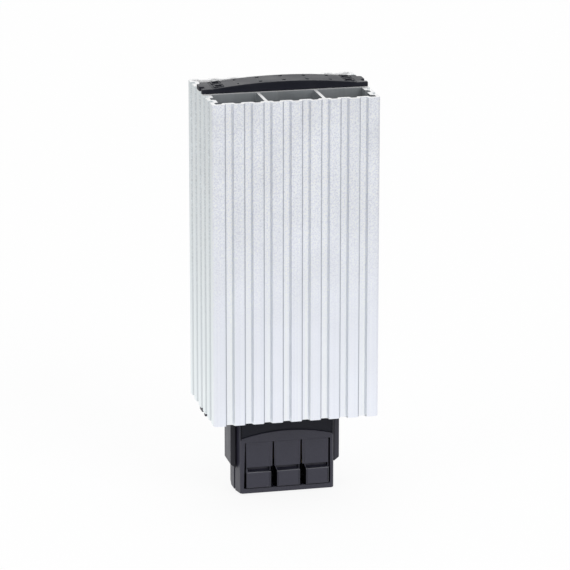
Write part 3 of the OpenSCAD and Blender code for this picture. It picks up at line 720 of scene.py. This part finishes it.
def casingRadius(middle, along, radius):
    onFront = abs(middle.y - casingEdges["front"]) < near["edge"]
    if onFront and abs(middle.z - casingEdges["hinge"]) < near["seam"]:
        return 0.0
    if onFront and abs(middle.x) < casingEdges["opening"] and middle.z < casingEdges["hinge"]:
        return edgeRadii["slit"]
    return radius


def leverRadius(middle, along, radius):
    if middle.z > casingEdges["hinge"] - near["face"]:
        return 0.0
    if abs(middle.y - casingEdges["keyFront"]) < near["edge"]:
        return edgeRadii["key"]
    onPlate = middle.z > casingEdges["hinge"] - casingEdges["plateReach"]
    if abs(along.z) > casingEdges["plateEdge"] and onPlate:
        return edgeRadii["slit"]
    return radius


# faces that get painted shade and painted highlights, by their middle and the way they look
# the left shoulder's front face, painted darker as painted shade
def shoulderFace(place, look):
    onFront = abs(place.y - casingEdges["shoulderFront"]) < near["face"] and look.y < -facing["front"]
    return onFront and place.x < -casingEdges["casingSide"]


# recess floor above the arch, given the cap's darker finish as painted shade
def recessFloor(place, look):
    onFloor = abs(place.y - casingEdges["recessShown"]) < near["face"] and look.y < -facing["front"]
    return onFloor and place.z > casingEdges["hinge"]


# lips beside the recess, given the cap's darker finish as painted shade
def recessLip(place, look):
    outside = abs(place.x) > casingEdges["frontSide"] - casingEdges["lip"] - near["lip"]
    return outside and place.y < casingEdges["front"] + near["face"] and place.z > casingEdges["archEnd"]


# the left lip beside the recess, painted near black as painted shade
def leftLip(place, look):
    return recessLip(place, look) and place.x < 0


# opening walls beside the levers, painted near black as painted shade
def slitWall(place, look):
    inSlit = place.y > casingEdges["front"] + edgeRadii["slit"] and place.z < casingEdges["hinge"]
    return inSlit and abs(place.x) < casingEdges["opening"] + near["edge"] and abs(look.x) > facing["square"]


def onKeyEdge(place, look):
    return place.y < casingEdges["keyFront"] + edgeRadii["key"] and look.y > -facing["flat"]


# the top edge of each key, painted lighter as a painted highlight
def keyTop(place, look):
    return onKeyEdge(place, look) and look.z > facing["turned"]


# the right edge of each key, painted lighter as a painted highlight
def keyRight(place, look):
    return onKeyEdge(place, look) and look.x > facing["turned"]


# left edges of the middle and right keys, painted dark as painted shade in the gap
def keyLeft(place, look):
    return onKeyEdge(place, look) and look.x < -facing["turned"] and place.x > -casingEdges["leverHalf"]


# lever sides, painted near black as painted shade in the slits
def leverSide(place, look):
    return abs(look.x) > facing["square"]


# painted highlights on key top and right edges, painted shade on left key edges and lever sides
leverPaintedLight = [("painted highlight edge", keyTop), ("painted highlight rim", keyRight), ("painted slit shade", keyLeft),
                 ("painted slit shade", leverSide)]
paintedLightFaces = {name: leverPaintedLight for name in leverNames}
# painted shade on the left shoulder, the recess floor, its lips and the slit walls
paintedLightFaces["casing_base"] = [("painted shoulder shade", shoulderFace)]
paintedLightFaces["casing_front"] = [("cap moulding and painted shade", recessFloor), ("painted slit shade", leftLip),
                                  ("cap moulding and painted shade", recessLip), ("painted slit shade", slitWall)]
easedPieces = [
    # node, piece, body, finish, record slot, edge radius, steps, radius by edge, cuts along x
    ("top_cap", "endCap", "heater", "cap moulding and painted shade", "black_plastic",
     0.00022, 2, sameRadius, (-0.0282, 0.0, 0.0282)),
    ("casing_base", "casingRear", "heater", "casing moulding", "black_plastic",
     0.00025, 2, sameRadius, (-0.0124, 0.0, 0.0124)),
    ("casing_front", "casingFront", "heater", "casing moulding", "black_plastic",
     0.0003, 3, casingRadius, (-0.01885, 0.0, 0.01885)),
    ("lever_left", "pressLeverLeft", "press_left", "casing moulding", "lever_plastic",
     0.00025, 3, leverRadius, (-0.01795, -0.00785, -0.00745)),
    ("lever_middle", "pressLeverMiddle", "press_middle", "casing moulding", "lever_plastic",
     0.00025, 3, leverRadius, (-0.00545, -0.00505, 0.00505, 0.00545)),
    ("lever_right", "pressLeverRight", "press_right", "casing moulding", "lever_plastic",
     0.00025, 3, leverRadius, (0.00745, 0.00785, 0.01795)),
    ("rail_clip", "railClip", "heater", "spring strip", "spring_steel",
     0.00015, 2, sameRadius, (0.0,)),
]
for nodeName, pieceName, body, finish, slotName, radius, steps, radiusOf, cuts in easedPieces:
    mesh = easedMesh(nodeName, radius, steps, radiusOf, cuts)
    mesh.materials.clear()
    mesh.materials.append(finishes[finish])
    # painted shade and painted highlight finishes for the chosen faces
    choices = paintedLightFaces.get(nodeName, [])
    for second, chosen in choices:
        mesh.materials.append(finishes[second])
    for face in mesh.polygons:
        fits = [i for i, (second, chosen) in enumerate(choices) if chosen(face.center, face.normal)]
        face.material_index = fits[0] + 1 if fits else 0
    addPiece(pieceName, settleNormals(mesh, easeRule["sharpAngle"]), body, slotName, nodeName)
print("eased pieces:", len(easedPieces))


# clip screws: Geometry Nodes dome a head, cut its cross and set one screw on each point
screwShape = {"heights": (-0.027, 0.027), "sharpAngle": 35, "facets": 40, "headRings": 7,
              "Head Radius": 0.0027, "Head Height": 0.0018, "Head Drop": 0.0007, "Shank Radius": 0.00145,
              "Shank Length": 0.0044, "Cross Length": 0.0030, "Cross Width": 0.00055, "Cross Depth": 0.0009}
screwSizes = [name for name in screwShape if " " in name]


def makeScrewTree(facets, headRings):
    tree = bpy.data.node_groups.new("set screws", "GeometryNodeTree")
    tree.interface.new_socket("Geometry", in_out="INPUT", socket_type="NodeSocketGeometry")
    for label in screwSizes:
        tree.interface.new_socket(label, in_out="INPUT", socket_type="NodeSocketFloat")
    tree.interface.new_socket("Metal", in_out="INPUT", socket_type="NodeSocketMaterial")
    tree.interface.new_socket("Geometry", in_out="OUTPUT", socket_type="NodeSocketGeometry")
    gin, gout = addNode(tree, "NodeGroupInput"), addNode(tree, "NodeGroupOutput")

    def upTo(value):
        node = addNode(tree, "ShaderNodeCombineXYZ")
        tree.links.new(value, node.inputs["Z"])
        return node

    def moved(source, value):
        node = addNode(tree, "GeometryNodeTransform")
        join(tree, source, "Mesh", node, "Geometry")
        join(tree, upTo(value), 0, node, "Translation")
        return node

    def rod(radius, height, rings):
        node = addNode(tree, "GeometryNodeMeshCylinder", {"Vertices": facets, "Fill Segments": rings},
                       fill_type="TRIANGLE_FAN")
        join(tree, gin, radius, node, "Radius")
        join(tree, gin, height, node, "Depth")
        return node

    head = rod("Head Radius", "Head Height", headRings)
    place = addNode(tree, "ShaderNodeSeparateXYZ")
    join(tree, addNode(tree, "GeometryNodeInputPosition"), 0, place, 0)
    acrossX, acrossY = (mathNode(tree, "POWER", place.outputs[axis], 2.0) for axis in ("X", "Y"))
    wide = mathNode(tree, "POWER", gin.outputs["Head Radius"], 2.0)
    share = mathNode(tree, "DIVIDE", mathNode(tree, "ADD", acrossX, acrossY), wide)
    fall = mathNode(tree, "MULTIPLY", mathNode(tree, "POWER", share, 2.0), gin.outputs["Head Drop"])
    isTop = mathNode(tree, "GREATER_THAN", place.outputs["Z"], 0.0)
    lowered = mathNode(tree, "MULTIPLY", mathNode(tree, "MULTIPLY", fall, isTop), -1.0)
    domed = addNode(tree, "GeometryNodeSetPosition")
    join(tree, head, "Mesh", domed, "Geometry")
    join(tree, upTo(lowered), 0, domed, "Offset")
    half = mathNode(tree, "MULTIPLY", gin.outputs["Head Height"], 0.5)
    cross = addNode(tree, "GeometryNodeMeshBoolean", operation="DIFFERENCE", solver="EXACT")
    join(tree, domed, "Geometry", cross, "Mesh 1")
    doubled = mathNode(tree, "MULTIPLY", gin.outputs["Cross Depth"], 2.0)
    for first, second in (("Cross Length", "Cross Width"), ("Cross Width", "Cross Length")):
        size = addNode(tree, "ShaderNodeCombineXYZ")
        join(tree, gin, first, size, "X")
        join(tree, gin, second, size, "Y")
        tree.links.new(doubled, size.inputs["Z"])
        bar = addNode(tree, "GeometryNodeMeshCube")
        join(tree, size, 0, bar, "Size")
        join(tree, moved(bar, half), "Geometry", cross, "Mesh 2")
    gather = addNode(tree, "GeometryNodeJoinGeometry")
    join(tree, moved(cross, half), "Geometry", gather, "Geometry")
    halfShank = mathNode(tree, "MULTIPLY", gin.outputs["Shank Length"], -0.5)
    join(tree, moved(rod("Shank Radius", "Shank Length", 1), halfShank), "Geometry", gather, "Geometry")
    placed = addNode(tree, "GeometryNodeInstanceOnPoints", {"Rotation": (-math.pi / 2, 0.0, 0.0)})
    join(tree, gin, "Geometry", placed, "Points")
    join(tree, gather, "Geometry", placed, "Instance")
    real = addNode(tree, "GeometryNodeRealizeInstances")
    join(tree, placed, "Instances", real, "Geometry")
    painted = addNode(tree, "GeometryNodeSetMaterial")
    join(tree, real, "Geometry", painted, "Geometry")
    join(tree, gin, "Metal", painted, "Material")
    join(tree, painted, "Geometry", gout, "Geometry")
    return tree


def makeScrews(cfg):
    points = bpy.data.meshes.new("screw places")
    points.from_pydata([(0.0, 0.0, z) for z in cfg["heights"]], [], [])
    carrier = addObject("carrier", points)
    modifier = carrier.modifiers.new("screws", "NODES")
    tree = makeScrewTree(cfg["facets"], cfg["headRings"])
    modifier.node_group = tree
    setInputs(modifier, tree, {"Metal": finishes["zinc screw"], **{name: cfg[name] for name in screwSizes}})
    mesh = plainMesh(carrier)
    carrier.modifiers.clear()
    bpy.data.objects.remove(carrier)
    print("screw faces:", len(mesh.polygons))
    made = settleNormals(mesh, cfg["sharpAngle"])
    addPiece("clipScrews", made, "heater", "zinc_steel", "clip_screws")


makeScrews(screwShape)


# pieces inside the casing and the slot keep their CAD shape
innerFinishes = {
    "zinc screw": ("earth_screw",),
    "brass strip": ("contact_bar_left", "contact_bar_middle", "earth_bar", "electrode_front",
                    "electrode_rear"),
    "fired ceramic": ("ptc_stone_lower", "ptc_stone_middle", "ptc_stone_upper"),
    "amber film": ("insulating_sleeve",),
    "spring strip": ("pressure_spring", "clamp_spring_left", "clamp_spring_middle", "clamp_spring_right"),
}
for finish, nodeNames in innerFinishes.items():
    for nodeName in nodeNames:
        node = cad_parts[nodeName]
        node.data.materials.clear()
        node.data.materials.append(finishes[finish])
print("inner finishes:", len(innerFinishes))

# pale floor, which shows white and keeps a soft shadow; in reflections it glows near white, dimming with
# distance from the middle, a painted pool of light on the metal
studio = {"floorSize": 30.0, "floorWhite": 0.88, "floorColour": (0.92, 0.92, 0.92, 1.0), "ambient": 0.80,
          "mirrorWhite": 0.98, "dimFrom": 0.16, "dimTo": 0.8, "dimLeast": 0.57}


def rayMask(tree):
    path = addNode(tree, "ShaderNodeLightPath")
    seen = mathNode(tree, "MAXIMUM", path.outputs["Is Camera Ray"], path.outputs["Is Glossy Ray"])
    return mathNode(tree, "MAXIMUM", seen, path.outputs["Is Transmission Ray"])


def makeFloor(cfg):
    half, level = cfg["floorSize"] / 2, cadLow.z
    corners = [(-half, -half, level), (half, -half, level), (half, half, level), (-half, half, level)]
    mesh = bpy.data.meshes.new("floor")
    mesh.from_pydata(corners, [], [(0, 1, 2, 3)])
    material = bpy.data.materials.new("pale floor")
    material.use_nodes = True
    tree = material.node_tree
    tree.nodes.clear()
    out = addNode(tree, "ShaderNodeOutputMaterial")
    matte = addNode(tree, "ShaderNodeBsdfDiffuse", {"Color": cfg["floorColour"]})
    white = addNode(tree, "ShaderNodeEmission", {"Color": (1.0, 1.0, 1.0, 1.0), "Strength": 1.0})
    blend = addNode(tree, "ShaderNodeMixShader")
    away = addNode(tree, "ShaderNodeVectorMath", operation="LENGTH")
    join(tree, addNode(tree, "ShaderNodeTexCoord"), "Object", away, 0)
    # in reflections the floor's glow fades away from the middle: a painted pool of light
    dim = addNode(tree, "ShaderNodeMapRange", {"From Min": cfg["dimFrom"], "From Max": cfg["dimTo"],
                                               "To Min": 0.0, "To Max": 1.0 - cfg["dimLeast"]})
    join(tree, away, "Value", dim, "Value")
    mirrored = addNode(tree, "ShaderNodeLightPath").outputs["Is Glossy Ray"]
    less = mathNode(tree, "MULTIPLY", dim.outputs["Result"], mirrored)
    tree.links.new(mathNode(tree, "SUBTRACT", 1.0, less), white.inputs["Strength"])
    extra = mathNode(tree, "MULTIPLY", mirrored, cfg["mirrorWhite"] - cfg["floorWhite"])
    whiteness = mathNode(tree, "ADD", extra, cfg["floorWhite"])
    tree.links.new(mathNode(tree, "MULTIPLY", rayMask(tree), whiteness), blend.inputs[0])
    tree.links.new(matte.outputs[0], blend.inputs[1])
    tree.links.new(white.outputs[0], blend.inputs[2])
    join(tree, blend, "Shader", out, "Surface")
    mesh.materials.append(material)
    floor = addObject("floor", mesh)


def makeWorld(cfg):
    world = bpy.data.worlds.new("studio")
    scene.world = world
    world.use_nodes = True
    tree = world.node_tree
    tree.nodes.clear()
    out = addNode(tree, "ShaderNodeOutputWorld")
    back = addNode(tree, "ShaderNodeBackground", {"Color": (1.0, 1.0, 1.0, 1.0)})
    lift = mathNode(tree, "MULTIPLY", rayMask(tree), 1.0 - cfg["ambient"])
    tree.links.new(mathNode(tree, "ADD", lift, cfg["ambient"]), back.inputs["Strength"])
    join(tree, back, "Background", out, "Surface")


makeFloor(studio)
makeWorld(studio)

# soft lamps: place, size, power
lamps = {
    "keyPanel": {"place": (1.1, -2.2, 1.7), "size": 1.4, "power": 21.0},
    "sidePanel": {"place": (-2.0, -1.0, 1.0), "size": 1.2, "power": 8.5},
    "backPanel": {"place": (0.4, 2.2, 1.6), "size": 1.2, "power": 8.0},
}
for lampName, cfg in lamps.items():
    data = bpy.data.lights.new(lampName, "AREA")
    data.shape = "SQUARE"
    data.size = cfg["size"]
    data.energy = cfg["power"]
    lamp = addObject(lampName, data)
    lamp.location = cfg["place"]
    lamp.rotation_mode = "QUATERNION"
    lamp.rotation_quaternion = (-Vector(cfg["place"])).to_track_quat("-Z", "Y")
print("lamps:", len(lamps))


# camera from the fitted view of the body's corners and grooves
viewFit = {"place": (-0.3224, -1.4336, 0.3928), "yaw": 12.942, "pitch": 15.841, "roll": 0.023,
           "focalPixels": 3490.3, "imagePixels": 570.0, "sensor": 36.0, "clip": (0.05, 100.0)}


def makeCamera(cfg):
    yaw, pitch, roll = (math.radians(cfg[k]) for k in ("yaw", "pitch", "roll"))
    ahead = Vector((math.sin(yaw) * math.cos(pitch), math.cos(yaw) * math.cos(pitch), -math.sin(pitch)))
    right = Vector((math.cos(yaw), -math.sin(yaw), 0.0))
    up = right.cross(ahead)
    tilted = math.cos(roll) * right + math.sin(roll) * up
    upright = -math.sin(roll) * right + math.cos(roll) * up
    data = bpy.data.cameras.new("view")
    data.sensor_width = cfg["sensor"]
    data.lens = cfg["focalPixels"] / cfg["imagePixels"] * cfg["sensor"]
    data.clip_start, data.clip_end = cfg["clip"]
    camera = addObject("view", data)
    turn = Matrix((tilted, upright, -ahead)).transposed().to_4x4()
    camera.matrix_world = Matrix.Translation(cfg["place"]) @ turn
    scene.camera = camera


makeCamera(viewFit)
